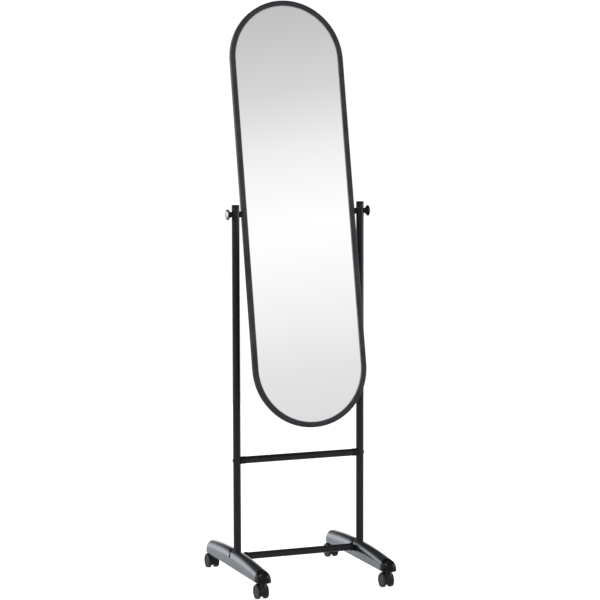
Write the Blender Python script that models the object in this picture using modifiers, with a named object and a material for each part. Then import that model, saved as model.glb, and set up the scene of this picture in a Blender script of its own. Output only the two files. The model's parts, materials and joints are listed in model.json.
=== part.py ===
"""Cheval floor mirror on casters, modelled part by part.

Units are metres and +Z is up. The origin is on the floor, below the middle of
the object's box. The mirror faces -Y, and +X is the stand's right-hand side
seen from the front.
"""

import math

import bmesh
import bpy
from mathutils import Matrix, Vector

# Clearances
GAP = 0.0003
WHEEL_ROOM = 0.0007

# Casters
WHEEL_RADIUS = 0.020
WHEEL_WIDTH = 0.0109
WHEEL_DISH = 0.0025
WEB_WIDTH = 0.011
HOOD_WIDTH = 0.024
HOOD_WALL = 0.0023
HOOD_BACK_ANGLE = math.radians(30)
HOOD_FRONT_ANGLE = math.radians(205)
AXLE_BOSS_RADIUS = 0.008
CASTER_TRAIL = 0.015
HUB_RADIUS = 0.008
HUB_RISE = 0.0033
STEM_RADIUS = 0.004
STEM_COLLAR_RADIUS = 0.0068
STEM_COLLAR = 0.002
AXLE_RADIUS = 0.0025
AXLE_REACH = 0.0067

# Feet
FOOT_HALF_WIDTH = 0.0215
FOOT_HEIGHT = 0.0445
FOOT_SAG_FRONT = 0.31
FOOT_SAG_REAR = 0.25
FOOT_ROUNDNESS = 2.3
FOOT_FRONT = 0.229
FOOT_REAR = 0.224
FOOT_WALL = 0.0022
END_DROP = 0.45
NOSE_DEPTH = 0.033
SEAM_BEHIND_POST = 0.0048
SHOULDER_LENGTH = 0.024
SHOULDER_DROP = 0.14
CASTER_SPREAD = 0.409
RAIL_WIDTH = 0.020
RAIL_THICKNESS = 0.005
RAIL_LIFT = 0.002
BOSS_RADIUS = 0.0074
BOSS_HEIGHT = 0.022
CUP_WALL = 0.003
CUP_DEPTH = 0.010

# Uprights and crossbars
POST_SPACING = 0.370
POST_RADIUS = 0.0107
TUBE_WALL = 0.0012
BAR_RADIUS = 0.010
LOWER_BAR_RISE = 0.0272
MIDDLE_BAR_HEIGHT = 0.349
SWING_ROOM = 0.0785
POST_ABOVE_PIVOT = 0.026
CAP_THICKNESS = 0.004
CAP_PLUG = 0.011
SOCKET_START = 0.006
SOCKET_RADIUS = 0.0106
SOCKET_LENGTH = 0.013
SPIGOT_LENGTH = 0.018
LOWER_COLLAR_RADIUS = 0.0114
LOWER_COLLAR_LENGTH = 0.009
LOWER_NOSE_RADIUS = 0.006
BOLT_RADIUS = 0.003
BOLT_GRIP = 0.016
BOLT_HEAD_RADIUS = 0.0046
BOLT_HEAD = 0.0008
NOTCH_RADIUS = 0.006

# Mirror
MIRROR_LENGTH = 1.193
MIRROR_TILT = math.radians(11.5)
PIVOT_GAP = 0.0071
FRAME_WIDTH = 0.0138
FRAME_WALL = 0.008
FRAME_LIP = 0.0038
FRAME_EDGE = 0.0022
SEAL_THICKNESS = 0.001
SEAL_WIDTH = 0.004
SEAL_SHOW = 0.0018
GLASS_THICKNESS = 0.003
BOARD_THICKNESS = 0.0025
RETAINER_THICKNESS = 0.0018
RETAINER_WIDTH = 0.006
ARC_STEPS = 24

# Pivot hardware
STUD_RADIUS = 0.003
STUD_IN_KNOB = 0.007
INSERT_RADIUS = 0.0045
INSERT_FLANGE_RADIUS = 0.0065
INSERT_FLANGE = 0.0008
SPACER_RADIUS = 0.0084
WASHER_RADIUS = 0.0076
WASHER_THICKNESS = 0.0015
KNOB_RADIUS = 0.015
KNOB_NECK_RADIUS = 0.0067
KNOB_LENGTH = 0.0122
KNOB_FLARE_START = 0.001
KNOB_HOLLOW = 1.4
KNOB_RIM = 0.0022
KNOB_LIP = 0.0046
CAP_RECESS = 0.0012
CAP_DOME = 0.0022

# Sizes that follow from the ones above
AXLE_HEIGHT = WHEEL_RADIUS
HOOD_RADIUS = WHEEL_RADIUS + WHEEL_ROOM + HOOD_WALL
HUB_TOP = AXLE_HEIGHT + HOOD_RADIUS + HUB_RISE
FOOT_BOTTOM = HUB_TOP + STEM_COLLAR + 3 * GAP
RAIL_BOTTOM = FOOT_BOTTOM + RAIL_LIFT
RAIL_TOP = RAIL_BOTTOM + RAIL_THICKNESS
POST_BOTTOM = RAIL_TOP + GAP
CUP_RADIUS = POST_RADIUS + GAP + CUP_WALL
LOWER_BAR_HEIGHT = FOOT_BOTTOM + LOWER_BAR_RISE
PIVOT_HEIGHT = MIDDLE_BAR_HEIGHT + BAR_RADIUS + SWING_ROOM + MIRROR_LENGTH / 2
POST_TOP = PIVOT_HEIGHT + POST_ABOVE_PIVOT - CAP_THICKNESS - GAP
POST_X = POST_SPACING / 2
CASTER_Y = CASTER_SPREAD / 2
SEAM_Y = POST_RADIUS + SEAM_BEHIND_POST
STAND_Y = -(CASTER_Y + CASTER_TRAIL + WHEEL_RADIUS - FOOT_FRONT) / 2
FRAME_OUTER = POST_X - POST_RADIUS - PIVOT_GAP
FRAME_INNER = FRAME_OUTER - FRAME_WIDTH
REBATE_RADIUS = FRAME_OUTER - FRAME_WALL
PANEL_RADIUS = REBATE_RADIUS - GAP
ARC_CENTRE = MIRROR_LENGTH / 2 - FRAME_OUTER
SEAL_FRONT = -SEAL_THICKNESS - 0.0011
LIP_BACK = SEAL_FRONT - GAP
FRAME_FRONT = LIP_BACK - FRAME_LIP
GLASS_FRONT = SEAL_FRONT + SEAL_THICKNESS + GAP
BOARD_FRONT = GLASS_FRONT + GLASS_THICKNESS + GAP
RETAINER_FRONT = BOARD_FRONT + BOARD_THICKNESS + GAP
FRAME_BACK = RETAINER_FRONT + RETAINER_THICKNESS

# Facets round a full circle
TUBE_STEPS = 24
SMALL_STEPS = 12
WHEEL_STEPS = 24
KNOB_STEPS = 24

SIDES = {"left": -1, "right": 1}


# Building helpers

def clear_scene():
    """Remove what the scene holds and return collections for parts and cutters."""
    for obj in list(bpy.data.objects):
        bpy.data.objects.remove(obj, do_unlink=True)
    collections = []
    for name in ("cheval_floor_mirror", "cutters"):
        collection = bpy.data.collections.new(name)
        bpy.context.scene.collection.children.link(collection)
        collections.append(collection)
    return collections


def make_material(name, color, roughness, metallic=0.0):
    """A Principled material with one colour and one roughness."""
    material = bpy.data.materials.new(name)
    material.use_nodes = True
    shader = material.node_tree.nodes["Principled BSDF"]
    shader.inputs["Base Color"].default_value = (*color, 1.0)
    shader.inputs["Roughness"].default_value = roughness
    shader.inputs["Metallic"].default_value = metallic
    material.diffuse_color = (*color, 1.0)
    return material


def evaluated_mesh(obj):
    """The mesh that an object's modifiers make."""
    bpy.context.view_layer.update()
    depsgraph = bpy.context.evaluated_depsgraph_get()
    return bpy.data.meshes.new_from_object(obj.evaluated_get(depsgraph))


def shade(mesh):
    """Smooth shading with sharp edges kept where faces turn by over 35 degrees."""
    mesh.shade_smooth()
    mesh.set_sharp_from_angle(angle=math.radians(35))


def add_part(name, mesh, material, location=(0, 0, 0), rotation=(0, 0, 0), parent=None):
    """Link a mesh to the parts collection as a named object."""
    shade(mesh)
    mesh.materials.clear()
    mesh.materials.append(material)
    obj = bpy.data.objects.new(name, mesh)
    obj.location = location
    obj.rotation_euler = rotation
    obj.parent = parent
    PARTS.objects.link(obj)
    return obj


def add_empty(name, location, rotation=(0, 0, 0)):
    """A parent that holds a moving group's axis."""
    empty = bpy.data.objects.new(name, None)
    empty.location = location
    empty.rotation_euler = rotation
    PARTS.objects.link(empty)
    return empty


def turned(profile, steps, closed=False):
    """A mesh turned about Z from (radius, height) points, listed down its outer side."""
    mesh = bpy.data.meshes.new("profile")
    count = len(profile)
    edges = [(i, i + 1) for i in range(count - 1)]
    if closed:
        edges.append((count - 1, 0))
    mesh.from_pydata([(radius, 0, height) for radius, height in profile], edges, [])
    obj = bpy.data.objects.new("profile", mesh)
    PARTS.objects.link(obj)
    screw = obj.modifiers.new("turn", "SCREW")
    screw.axis = "Z"
    screw.steps = steps
    screw.render_steps = steps
    screw.use_merge_vertices = True
    screw.merge_threshold = 0.00001
    result = evaluated_mesh(obj)
    bpy.data.objects.remove(obj)
    return result


def pipe(outer, wall, low, high):
    """A tube along Z, open at both ends."""
    inner = outer - wall
    return turned([(outer, high), (outer, low), (inner, low), (inner, high)], TUBE_STEPS, closed=True)


def flat_outline(points, thickness):
    """A slab of the given thickness, centred on the plane of its outline."""
    curve = bpy.data.curves.new("outline", "CURVE")
    curve.dimensions = "2D"
    curve.fill_mode = "BOTH"
    curve.extrude = thickness / 2
    spline = curve.splines.new("POLY")
    spline.points.add(len(points) - 1)
    for point, (x, y) in zip(spline.points, points):
        point.co = (x, y, 0, 1)
    spline.use_cyclic_u = True
    obj = bpy.data.objects.new("outline", curve)
    PARTS.objects.link(obj)
    mesh = evaluated_mesh(obj)
    bpy.data.objects.remove(obj)
    weld(mesh)
    return mesh


def weld(mesh):
    """Join points that lie on each other and turn the faces outwards."""
    bm = bmesh.new()
    bm.from_mesh(mesh)
    bmesh.ops.remove_doubles(bm, verts=bm.verts, dist=0.00001)
    bmesh.ops.recalc_face_normals(bm, faces=bm.faces)
    bm.to_mesh(mesh)
    bm.free()


def grid_mesh(rows, cyclic_rows=False, cyclic_points=False):
    """A surface through rows of points, each row of the same length."""
    row_count = len(rows)
    point_count = len(rows[0])
    vertices = [point for row in rows for point in row]
    row_pairs = row_count if cyclic_rows else row_count - 1
    point_pairs = point_count if cyclic_points else point_count - 1
    faces = []
    for i in range(row_pairs):
        here = i * point_count
        after = (i + 1) % row_count * point_count
        for j in range(point_pairs):
            k = (j + 1) % point_count
            faces.append((here + j, here + k, after + k, after + j))
    mesh = bpy.data.meshes.new("grid")
    mesh.from_pydata(vertices, [], faces)
    weld(mesh)
    return mesh


def add_cutter(mesh, location, rotation=(0, 0, 0)):
    """A hidden tool for a Boolean modifier."""
    obj = bpy.data.objects.new("cutter", mesh)
    obj.location = location
    obj.rotation_euler = rotation
    obj.hide_render = True
    obj.display_type = "WIRE"
    CUTTERS.objects.link(obj)
    return obj


def cylinder_mesh(radius, length, steps=SMALL_STEPS):
    """A closed cylinder along Z, centred on its origin."""
    bm = bmesh.new()
    bmesh.ops.create_cone(bm, cap_ends=True, segments=steps, radius1=radius, radius2=radius, depth=length)
    mesh = bpy.data.meshes.new("cylinder")
    bm.to_mesh(mesh)
    bm.free()
    return mesh


def box_mesh(size_x, size_y, size_z):
    """A closed box centred on its origin."""
    bm = bmesh.new()
    bmesh.ops.create_cube(bm, size=1.0)
    bmesh.ops.scale(bm, vec=(size_x, size_y, size_z), verts=bm.verts)
    mesh = bpy.data.meshes.new("box")
    bm.to_mesh(mesh)
    bm.free()
    return mesh


def combine(obj, tool, operation):
    """Add one Boolean modifier that uses the given tool."""
    modifier = obj.modifiers.new(operation.lower(), "BOOLEAN")
    modifier.operation = operation
    modifier.solver = "EXACT"
    modifier.object = tool


def bore(obj, radius, length, location, axis="Z", steps=SMALL_STEPS):
    """Cut a round hole centred on a world point."""
    turns = {"X": (0, math.pi / 2, 0), "Y": (math.pi / 2, 0, 0), "Z": (0, 0, 0)}
    tool = add_cutter(cylinder_mesh(radius, length, steps), location, turns[axis])
    combine(obj, tool, "DIFFERENCE")


def outward(side):
    """The rotation that lays local +Z along the outward X direction."""
    return (0, side * math.pi / 2, 0)


def inward(side):
    """The rotation that lays local +Z along the inward X direction."""
    return (0, -side * math.pi / 2, 0)


def arc(radius, start, end, steps, centre=(0, 0)):
    """Points along a circular arc."""
    points = []
    for i in range(steps + 1):
        angle = start + (end - start) * i / steps
        points.append((centre[0] + radius * math.cos(angle), centre[1] + radius * math.sin(angle)))
    return points


# Uprights and crossbars

def make_upright(label, side):
    """A steel tube that stands in the foot and carries the pivot."""
    post = add_part("upright_" + label, pipe(POST_RADIUS, TUBE_WALL, POST_BOTTOM, POST_TOP), STEEL_BLACK,
                    location=(side * POST_X, STAND_Y, 0))
    for height, radius in (
        (PIVOT_HEIGHT, STUD_RADIUS),
        (MIDDLE_BAR_HEIGHT, BOLT_RADIUS),
        (LOWER_BAR_HEIGHT, BOLT_RADIUS),
    ):
        bore(post, radius + GAP, 4 * POST_RADIUS, (side * POST_X, STAND_Y, height), axis="X")
    return post


def make_upright_cap(label, side):
    """A plug that closes the top of an upright."""
    chamfer = 0.0012
    plug_radius = POST_RADIUS - TUBE_WALL - GAP
    profile = [
        (0, CAP_THICKNESS),
        (POST_RADIUS - chamfer, CAP_THICKNESS),
        (POST_RADIUS, CAP_THICKNESS - chamfer),
        (POST_RADIUS, 0),
        (plug_radius, 0),
        (plug_radius, -CAP_PLUG + chamfer),
        (plug_radius - chamfer, -CAP_PLUG),
        (0, -CAP_PLUG),
    ]
    add_part("upright_cap_" + label, turned(profile, TUBE_STEPS), PLASTIC_BLACK,
             location=(side * POST_X, STAND_Y, POST_TOP + GAP))


def saddle(obj, side, height):
    """Hollow an end face so that it lies round the upright."""
    bore(obj, POST_RADIUS + GAP, 6 * POST_RADIUS, (side * POST_X, STAND_Y, height), steps=TUBE_STEPS)


def make_socket(name, side, height, body_profile, collar_end):
    """A plastic socket between an upright and a crossbar, bored for its bolt."""
    spigot_radius = BAR_RADIUS - TUBE_WALL - GAP
    bore_radius = BOLT_RADIUS + GAP
    spigot_end = collar_end + SPIGOT_LENGTH
    bore_end = POST_RADIUS + BOLT_GRIP + GAP
    profile = [(0, spigot_end), (spigot_radius, spigot_end), (spigot_radius, collar_end)]
    profile += body_profile
    profile += [(bore_radius, SOCKET_START), (bore_radius, bore_end), (0, bore_end)]
    socket = add_part(name, turned(profile, TUBE_STEPS), PLASTIC_BLACK,
                      location=(side * POST_X, STAND_Y, height), rotation=inward(side))
    saddle(socket, side, height)


def middle_collar_end():
    """Distance from an upright's axis to the end of the middle socket's collar."""
    return POST_RADIUS + SOCKET_LENGTH


def make_middle_socket(label, side):
    """The middle bar's socket: a plain collar that lies round the upright."""
    end = middle_collar_end()
    body = [(SOCKET_RADIUS, end), (SOCKET_RADIUS, SOCKET_START)]
    make_socket("middle_socket_" + label, side, MIDDLE_BAR_HEIGHT, body, end)


def lower_collar_start():
    """Distance from an upright's axis to the lower collar, clear of the foot's side."""
    return foot_half_width_at(LOWER_BAR_HEIGHT - LOWER_COLLAR_RADIUS) + GAP


def lower_collar_end():
    """Distance from an upright's axis to the end of the lower socket's collar."""
    return lower_collar_start() + LOWER_COLLAR_LENGTH


def make_lower_socket(label, side):
    """The lower bar's socket: its nose goes through the foot's side to the upright."""
    start = lower_collar_start()
    end = lower_collar_end()
    body = [
        (LOWER_COLLAR_RADIUS, end),
        (LOWER_COLLAR_RADIUS, start),
        (LOWER_NOSE_RADIUS, start),
        (LOWER_NOSE_RADIUS, SOCKET_START),
    ]
    make_socket("lower_socket_" + label, side, LOWER_BAR_HEIGHT, body, end)


def make_crossbar(name, height, collar_end):
    """A steel tube between two sockets."""
    reach = POST_X - collar_end - GAP
    add_part(name, pipe(BAR_RADIUS, TUBE_WALL, -reach, reach), STEEL_BLACK,
             location=(0, STAND_Y, height), rotation=outward(1))


def make_bar_bolt(name, side, height):
    """A low-headed bolt through an upright into a crossbar's socket."""
    seat = POST_RADIUS + GAP
    head_top = seat + BOLT_HEAD
    chamfer = 0.0003
    profile = [
        (0, head_top),
        (BOLT_HEAD_RADIUS - chamfer, head_top),
        (BOLT_HEAD_RADIUS, head_top - chamfer),
        (BOLT_HEAD_RADIUS, seat),
        (BOLT_RADIUS, seat),
        (BOLT_RADIUS, -POST_RADIUS - BOLT_GRIP),
        (0, -POST_RADIUS - BOLT_GRIP),
    ]
    add_part(name, turned(profile, SMALL_STEPS), BOLT_STEEL,
             location=(side * POST_X, STAND_Y, height), rotation=outward(side))


# Feet

def foot_ridge(y):
    """Height of the foot's ridge above its bottom edge, highest at the upright."""
    sag = FOOT_SAG_REAR if y > 0 else FOOT_SAG_FRONT
    return FOOT_HEIGHT - sag * y * y


def foot_half_width_at(height):
    """Half-width of the foot beside the upright at a height above the floor."""
    share = (height - FOOT_BOTTOM) / FOOT_HEIGHT
    return FOOT_HALF_WIDTH * (1 - share ** FOOT_ROUNDNESS) ** (1 / FOOT_ROUNDNESS)


def foot_section(y, width_share=1.0, height_share=1.0, steps=10):
    """One arch of the foot: a superellipse above the bottom edge."""
    half_width = FOOT_HALF_WIDTH * width_share
    height = foot_ridge(y) * height_share
    power = 2 / FOOT_ROUNDNESS
    points = []
    for i in range(steps + 1):
        angle = math.pi * i / steps
        across = math.cos(angle)
        x = half_width * math.copysign(abs(across) ** power, across)
        z = height * abs(math.sin(angle)) ** power
        points.append(Vector((x, y, z)))
    return points


def round_end(y_start, y_end, steps=5):
    """Arches that close a foot's end on a round plan while its ridge comes down."""
    sections = []
    for i in range(1, steps + 1):
        angle = math.pi / 2 * i / steps
        y = y_start + (y_end - y_start) * math.sin(angle)
        height_share = 1 - END_DROP * (1 - math.cos(angle))
        sections.append(foot_section(y, max(math.cos(angle), 0.0), height_share))
    sections[-1] = [Vector((0, point.y, point.z)) for point in sections[-1]]
    return sections


def straight_run(y_start, y_end, steps):
    """Arches of full width between two places along the foot."""
    return [foot_section(y_start + (y_end - y_start) * i / steps) for i in range(steps + 1)]


def foot_shell(name, sections, side, material):
    """A moulded cover: the arches as a surface, thickened inwards."""
    cover = add_part(name, grid_mesh(sections), material,
                     location=(side * POST_X, STAND_Y, FOOT_BOTTOM))
    point_outwards(cover.data)
    solid = cover.modifiers.new("wall", "SOLIDIFY")
    solid.thickness = FOOT_WALL
    solid.offset = -1
    solid.use_even_offset = True
    return cover


def point_outwards(mesh):
    """Turn an open arch's faces so that the ridge looks up."""
    highest = max(mesh.polygons, key=lambda face: face.center.z)
    if highest.normal.z < 0:
        mesh.flip_normals()


def bore_notch(cover, side):
    """Cut a cover's half of the round notch in the foot's outer side, to lift the covers off by."""
    seam = (side * (POST_X + FOOT_HALF_WIDTH), STAND_Y + SEAM_Y + GAP / 2, LOWER_BAR_HEIGHT)
    bore(cover, NOTCH_RADIUS, FOOT_HALF_WIDTH, seam, axis="X", steps=16)


def make_front_cover(label, side):
    """The front cover, with holes for the upright and the lower bar."""
    sections = straight_run(SEAM_Y, -FOOT_FRONT + NOSE_DEPTH + GAP, 5)
    cover = foot_shell("foot_front_cover_" + label, sections, side, COVER_GREY)
    middle = Vector((side * POST_X, STAND_Y, FOOT_BOTTOM + FOOT_HEIGHT))
    bore(cover, POST_RADIUS + GAP, FOOT_HEIGHT, middle, steps=TUBE_STEPS)
    wall = FOOT_HALF_WIDTH
    inner = (side * (POST_X - wall), STAND_Y, LOWER_BAR_HEIGHT)
    bore(cover, LOWER_NOSE_RADIUS + GAP, wall, inner, axis="X", steps=16)
    bore_notch(cover, side)


def make_nose_cap(label, side):
    """The black cap that closes the front of a foot."""
    start = -FOOT_FRONT + FOOT_HALF_WIDTH
    sections = straight_run(-FOOT_FRONT + NOSE_DEPTH, start, 1)
    sections += round_end(start, -FOOT_FRONT)
    foot_shell("foot_nose_cap_" + label, sections, side, NOSE_BLACK)


def make_rear_cover(label, side):
    """The rear cover, whose front end rounds off behind the upright."""
    steps = 3
    sections = []
    for i in range(steps):
        angle = math.pi / 2 * i / steps
        y = SEAM_Y + GAP + SHOULDER_LENGTH * (1 - math.cos(angle))
        height_share = 1 - SHOULDER_DROP * (1 - math.sin(angle))
        sections.append(foot_section(y, 1.0, height_share))
    start = FOOT_REAR - FOOT_HALF_WIDTH
    sections += straight_run(SEAM_Y + GAP + SHOULDER_LENGTH, start, 4)
    sections += round_end(start, FOOT_REAR)
    cover = foot_shell("foot_rear_cover_" + label, sections, side, COVER_GREY)
    bore_notch(cover, side)


def make_rail(label, side):
    """The steel rail inside a foot: a flat bar with caster bosses and a cup for the upright."""
    x = side * POST_X
    overlap = RAIL_THICKNESS / 2
    bar_length = CASTER_SPREAD
    rail = add_part("foot_rail_" + label, box_mesh(RAIL_WIDTH, bar_length, RAIL_THICKNESS), RAIL_STEEL,
                    location=(x, STAND_Y, RAIL_BOTTOM + RAIL_THICKNESS / 2))
    cup_height = CUP_DEPTH + overlap
    cup = add_cutter(cylinder_mesh(CUP_RADIUS, cup_height, TUBE_STEPS),
                     (x, STAND_Y, RAIL_TOP - overlap + cup_height / 2))
    combine(rail, cup, "UNION")
    for y in (-CASTER_Y, CASTER_Y):
        boss = add_cutter(cylinder_mesh(BOSS_RADIUS, BOSS_HEIGHT, 16),
                          (x, STAND_Y + y, RAIL_BOTTOM - GAP + BOSS_HEIGHT / 2))
        combine(rail, boss, "UNION")
        bore(rail, STEM_RADIUS + GAP, 4 * BOSS_HEIGHT, (x, STAND_Y + y, RAIL_BOTTOM))
    bore(rail, POST_RADIUS + GAP, 2 * CUP_DEPTH, (x, STAND_Y, RAIL_TOP + CUP_DEPTH), steps=TUBE_STEPS)


# Casters

def hood_outline():
    """Side outline of a caster's body about its axle: a wide sector over the wheels and a boss."""
    sector = arc(HOOD_RADIUS, HOOD_BACK_ANGLE, HOOD_FRONT_ANGLE, 10)
    boss = arc(AXLE_BOSS_RADIUS, HOOD_FRONT_ANGLE, HOOD_BACK_ANGLE + 2 * math.pi, 6)
    return sector + boss


def caster_body_mesh():
    """The slab of the hood's outline, turned so that its thickness lies along X."""
    mesh = flat_outline(hood_outline(), HOOD_WIDTH)
    mesh.transform(Matrix(((0, 0, 1, 0), (1, 0, 0, 0), (0, 1, 0, 0), (0, 0, 0, 1))))
    return mesh


def make_caster_body(name, x, y):
    """A caster's moulded body: hood, web between the wheels and hub for the stem."""
    axle = Vector((x, y + CASTER_TRAIL, AXLE_HEIGHT))
    body = add_part(name, caster_body_mesh(), CASTER_BLACK, location=axle)
    hub_height = HUB_TOP - AXLE_HEIGHT
    hub = add_cutter(cylinder_mesh(HUB_RADIUS, hub_height, 16), (x, y, HUB_TOP - hub_height / 2))
    combine(body, hub, "UNION")
    room = HOOD_WIDTH
    for side in SIDES.values():
        centre = axle + Vector((side * (WEB_WIDTH + room) / 2, 0, 0))
        bore(body, WHEEL_RADIUS + WHEEL_ROOM, room, centre, axis="X", steps=WHEEL_STEPS)
    bore(body, AXLE_RADIUS + GAP, 2 * WEB_WIDTH, axle, axis="X")
    stem_hole = 2 * (HUB_TOP - stem_bottom() + GAP)
    bore(body, STEM_RADIUS + GAP, stem_hole, (x, y, HUB_TOP))


def stem_bottom():
    """Height of a stem's lower end inside the hub."""
    return AXLE_HEIGHT + 0.62 * (HUB_TOP - AXLE_HEIGHT)


def make_stem(name, x, y):
    """A steel stem pressed into the rail's boss, with a collar above the hub."""
    collar_low = HUB_TOP + GAP
    collar_high = collar_low + STEM_COLLAR
    top = RAIL_BOTTOM + BOSS_HEIGHT - 0.001
    chamfer = 0.0007
    profile = [
        (0, top),
        (STEM_RADIUS - chamfer, top),
        (STEM_RADIUS, top - chamfer),
        (STEM_RADIUS, collar_high),
        (STEM_COLLAR_RADIUS, collar_high),
        (STEM_COLLAR_RADIUS, collar_low),
        (STEM_RADIUS, collar_low),
        (STEM_RADIUS, stem_bottom()),
        (0, stem_bottom()),
    ]
    add_part(name, turned(profile, SMALL_STEPS), PLATED_STEEL, location=(x, y, 0))


def wheel_profile():
    """A wheel from its outer face to its inner one, with a blind bore for the axle."""
    radius = WHEEL_RADIUS
    width = WHEEL_WIDTH
    dish = width - WHEEL_DISH
    bore_end = AXLE_REACH + 2 * GAP
    return [
        (0, dish),
        (0.76 * radius, dish),
        (0.83 * radius, width),
        (0.94 * radius, width),
        (radius, 0.75 * width),
        (radius, 0.12 * width),
        (0.95 * radius, 0),
        (AXLE_RADIUS + GAP, 0),
        (AXLE_RADIUS + GAP, bore_end),
        (0, bore_end),
    ]


def make_caster(label, x, y):
    """One swivel caster: stem, body, axle and two wheels that turn on their own."""
    make_stem(label + "_stem", x, y)
    make_caster_body(label + "_body", x, y)
    axle = (x, y + CASTER_TRAIL, AXLE_HEIGHT)
    wheel_start = WEB_WIDTH / 2 + GAP + 0.0002
    reach = wheel_start + AXLE_REACH
    pin = [(0, reach), (AXLE_RADIUS, reach), (AXLE_RADIUS, -reach), (0, -reach)]
    add_part(label + "_axle", turned(pin, SMALL_STEPS), PLATED_STEEL, location=axle, rotation=outward(1))
    outer_side = 1 if x > 0 else -1
    for wheel, side in (("outer_wheel", outer_side), ("inner_wheel", -outer_side)):
        place = (axle[0] + side * wheel_start, axle[1], axle[2])
        add_part(label + "_" + wheel, turned(wheel_profile(), WHEEL_STEPS), WHEEL_GREY,
                 location=place, rotation=outward(side))


# Mirror

def stadium_ring(section):
    """A section of (radius, depth) points swept round the mirror's outline."""
    rows = []
    for centre, start in ((ARC_CENTRE, 0.0), (-ARC_CENTRE, math.pi)):
        for i in range(ARC_STEPS + 1):
            angle = start + math.pi * i / ARC_STEPS
            across = math.cos(angle)
            along = math.sin(angle)
            rows.append([(radius * across, depth, centre + radius * along) for radius, depth in section])
    return grid_mesh(rows, cyclic_rows=True, cyclic_points=True)


def stadium_slab(radius, front, thickness):
    """A flat panel with half-round ends, its front face at the given depth."""
    top = arc(radius, 0, math.pi, ARC_STEPS, centre=(0, ARC_CENTRE))
    bottom = arc(radius, math.pi, 2 * math.pi, ARC_STEPS, centre=(0, -ARC_CENTRE))
    mesh = flat_outline(top + bottom, thickness)
    mesh.transform(Matrix.Rotation(math.pi / 2, 4, "X"))
    mesh.transform(Matrix.Translation((0, front + thickness / 2, 0)))
    weld(mesh)
    return mesh


def make_frame(pivot):
    """The mirror's frame: a front lip over the glass and a wall round it, rounded at the front."""
    edge = FRAME_EDGE
    slant = 0.3 * edge
    section = [
        (FRAME_INNER, LIP_BACK),
        (FRAME_INNER, FRAME_FRONT + edge),
        (FRAME_INNER + slant, FRAME_FRONT + slant),
        (FRAME_INNER + edge, FRAME_FRONT),
        (FRAME_OUTER - edge, FRAME_FRONT),
        (FRAME_OUTER - slant, FRAME_FRONT + slant),
        (FRAME_OUTER, FRAME_FRONT + edge),
        (FRAME_OUTER, FRAME_BACK - edge / 2),
        (FRAME_OUTER - edge / 2, FRAME_BACK),
        (REBATE_RADIUS, FRAME_BACK),
        (REBATE_RADIUS, LIP_BACK),
    ]
    frame = add_part("mirror_frame", stadium_ring(section), FRAME_GREY, parent=pivot)
    for side in SIDES.values():
        hole = add_cutter(cylinder_mesh(INSERT_RADIUS + GAP, 2 * FRAME_WALL, 16),
                          (side * FRAME_OUTER, 0, 0), outward(1))
        hole.parent = pivot
        combine(frame, hole, "DIFFERENCE")


def make_seal(pivot):
    """A thin strip between the frame's lip and the glass that shows inside the frame."""
    inner = FRAME_INNER - SEAL_SHOW
    outer = inner + SEAL_WIDTH
    back = SEAL_FRONT + SEAL_THICKNESS
    section = [(inner, back), (inner, SEAL_FRONT), (outer, SEAL_FRONT), (outer, back)]
    add_part("glazing_seal", stadium_ring(section), SEAL_RUBBER, parent=pivot)


def make_retainer(pivot):
    """The strip pressed into the back of the frame to hold the board."""
    outer = PANEL_RADIUS
    inner = outer - RETAINER_WIDTH
    back = RETAINER_FRONT + RETAINER_THICKNESS
    section = [(inner, back), (inner, RETAINER_FRONT), (outer, RETAINER_FRONT), (outer, back)]
    add_part("backing_retainer", stadium_ring(section), PLASTIC_BLACK, parent=pivot)


def make_mirror():
    """Everything that tilts together, on an empty that lies on the pivot's axis."""
    pivot = add_empty("mirror_pivot", (0, STAND_Y, PIVOT_HEIGHT), (-MIRROR_TILT, 0, 0))
    make_frame(pivot)
    make_seal(pivot)
    add_part("mirror_glass", stadium_slab(PANEL_RADIUS, GLASS_FRONT, GLASS_THICKNESS), MIRROR_GLASS,
             parent=pivot)
    add_part("backing_board", stadium_slab(PANEL_RADIUS, BOARD_FRONT, BOARD_THICKNESS), BOARD_FIBRE,
             parent=pivot)
    make_retainer(pivot)
    for label, side in SIDES.items():
        make_insert(label, side, pivot)


# Pivot hardware

def make_insert(label, side, pivot):
    """A threaded bush in the frame's side, with a flange against the spacer."""
    bore_radius = STUD_RADIUS + GAP
    flange_top = GAP + INSERT_FLANGE
    profile = [
        (INSERT_FLANGE_RADIUS, flange_top),
        (INSERT_FLANGE_RADIUS, GAP),
        (INSERT_RADIUS, GAP),
        (INSERT_RADIUS, -FRAME_WALL + GAP),
        (bore_radius, -FRAME_WALL + GAP),
        (bore_radius, flange_top),
    ]
    add_part("frame_insert_" + label, turned(profile, 16, closed=True), INSERT_BRASS,
             location=(side * FRAME_OUTER, 0, 0), rotation=outward(side), parent=pivot)


def make_spacer(label, side):
    """A bush between the frame and the upright, hollowed to lie round the upright."""
    end = POST_RADIUS + PIVOT_GAP - INSERT_FLANGE - 2 * GAP
    bore_radius = STUD_RADIUS + GAP
    profile = [
        (SPACER_RADIUS, end),
        (SPACER_RADIUS, SOCKET_START),
        (bore_radius, SOCKET_START),
        (bore_radius, end),
    ]
    spacer = add_part("pivot_spacer_" + label, turned(profile, TUBE_STEPS, closed=True), PLASTIC_BLACK,
                      location=(side * POST_X, STAND_Y, PIVOT_HEIGHT), rotation=inward(side))
    saddle(spacer, side, PIVOT_HEIGHT)


def make_washer(label, side):
    """A saddle washer between the upright and the knob."""
    bore_radius = STUD_RADIUS + GAP
    end = POST_RADIUS + WASHER_THICKNESS
    profile = [
        (WASHER_RADIUS, end),
        (WASHER_RADIUS, SOCKET_START),
        (bore_radius, SOCKET_START),
        (bore_radius, end),
    ]
    washer = add_part("knob_washer_" + label, turned(profile, TUBE_STEPS, closed=True), PLASTIC_BLACK,
                      location=(side * POST_X, STAND_Y, PIVOT_HEIGHT), rotation=outward(side))
    saddle(washer, side, PIVOT_HEIGHT)


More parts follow.
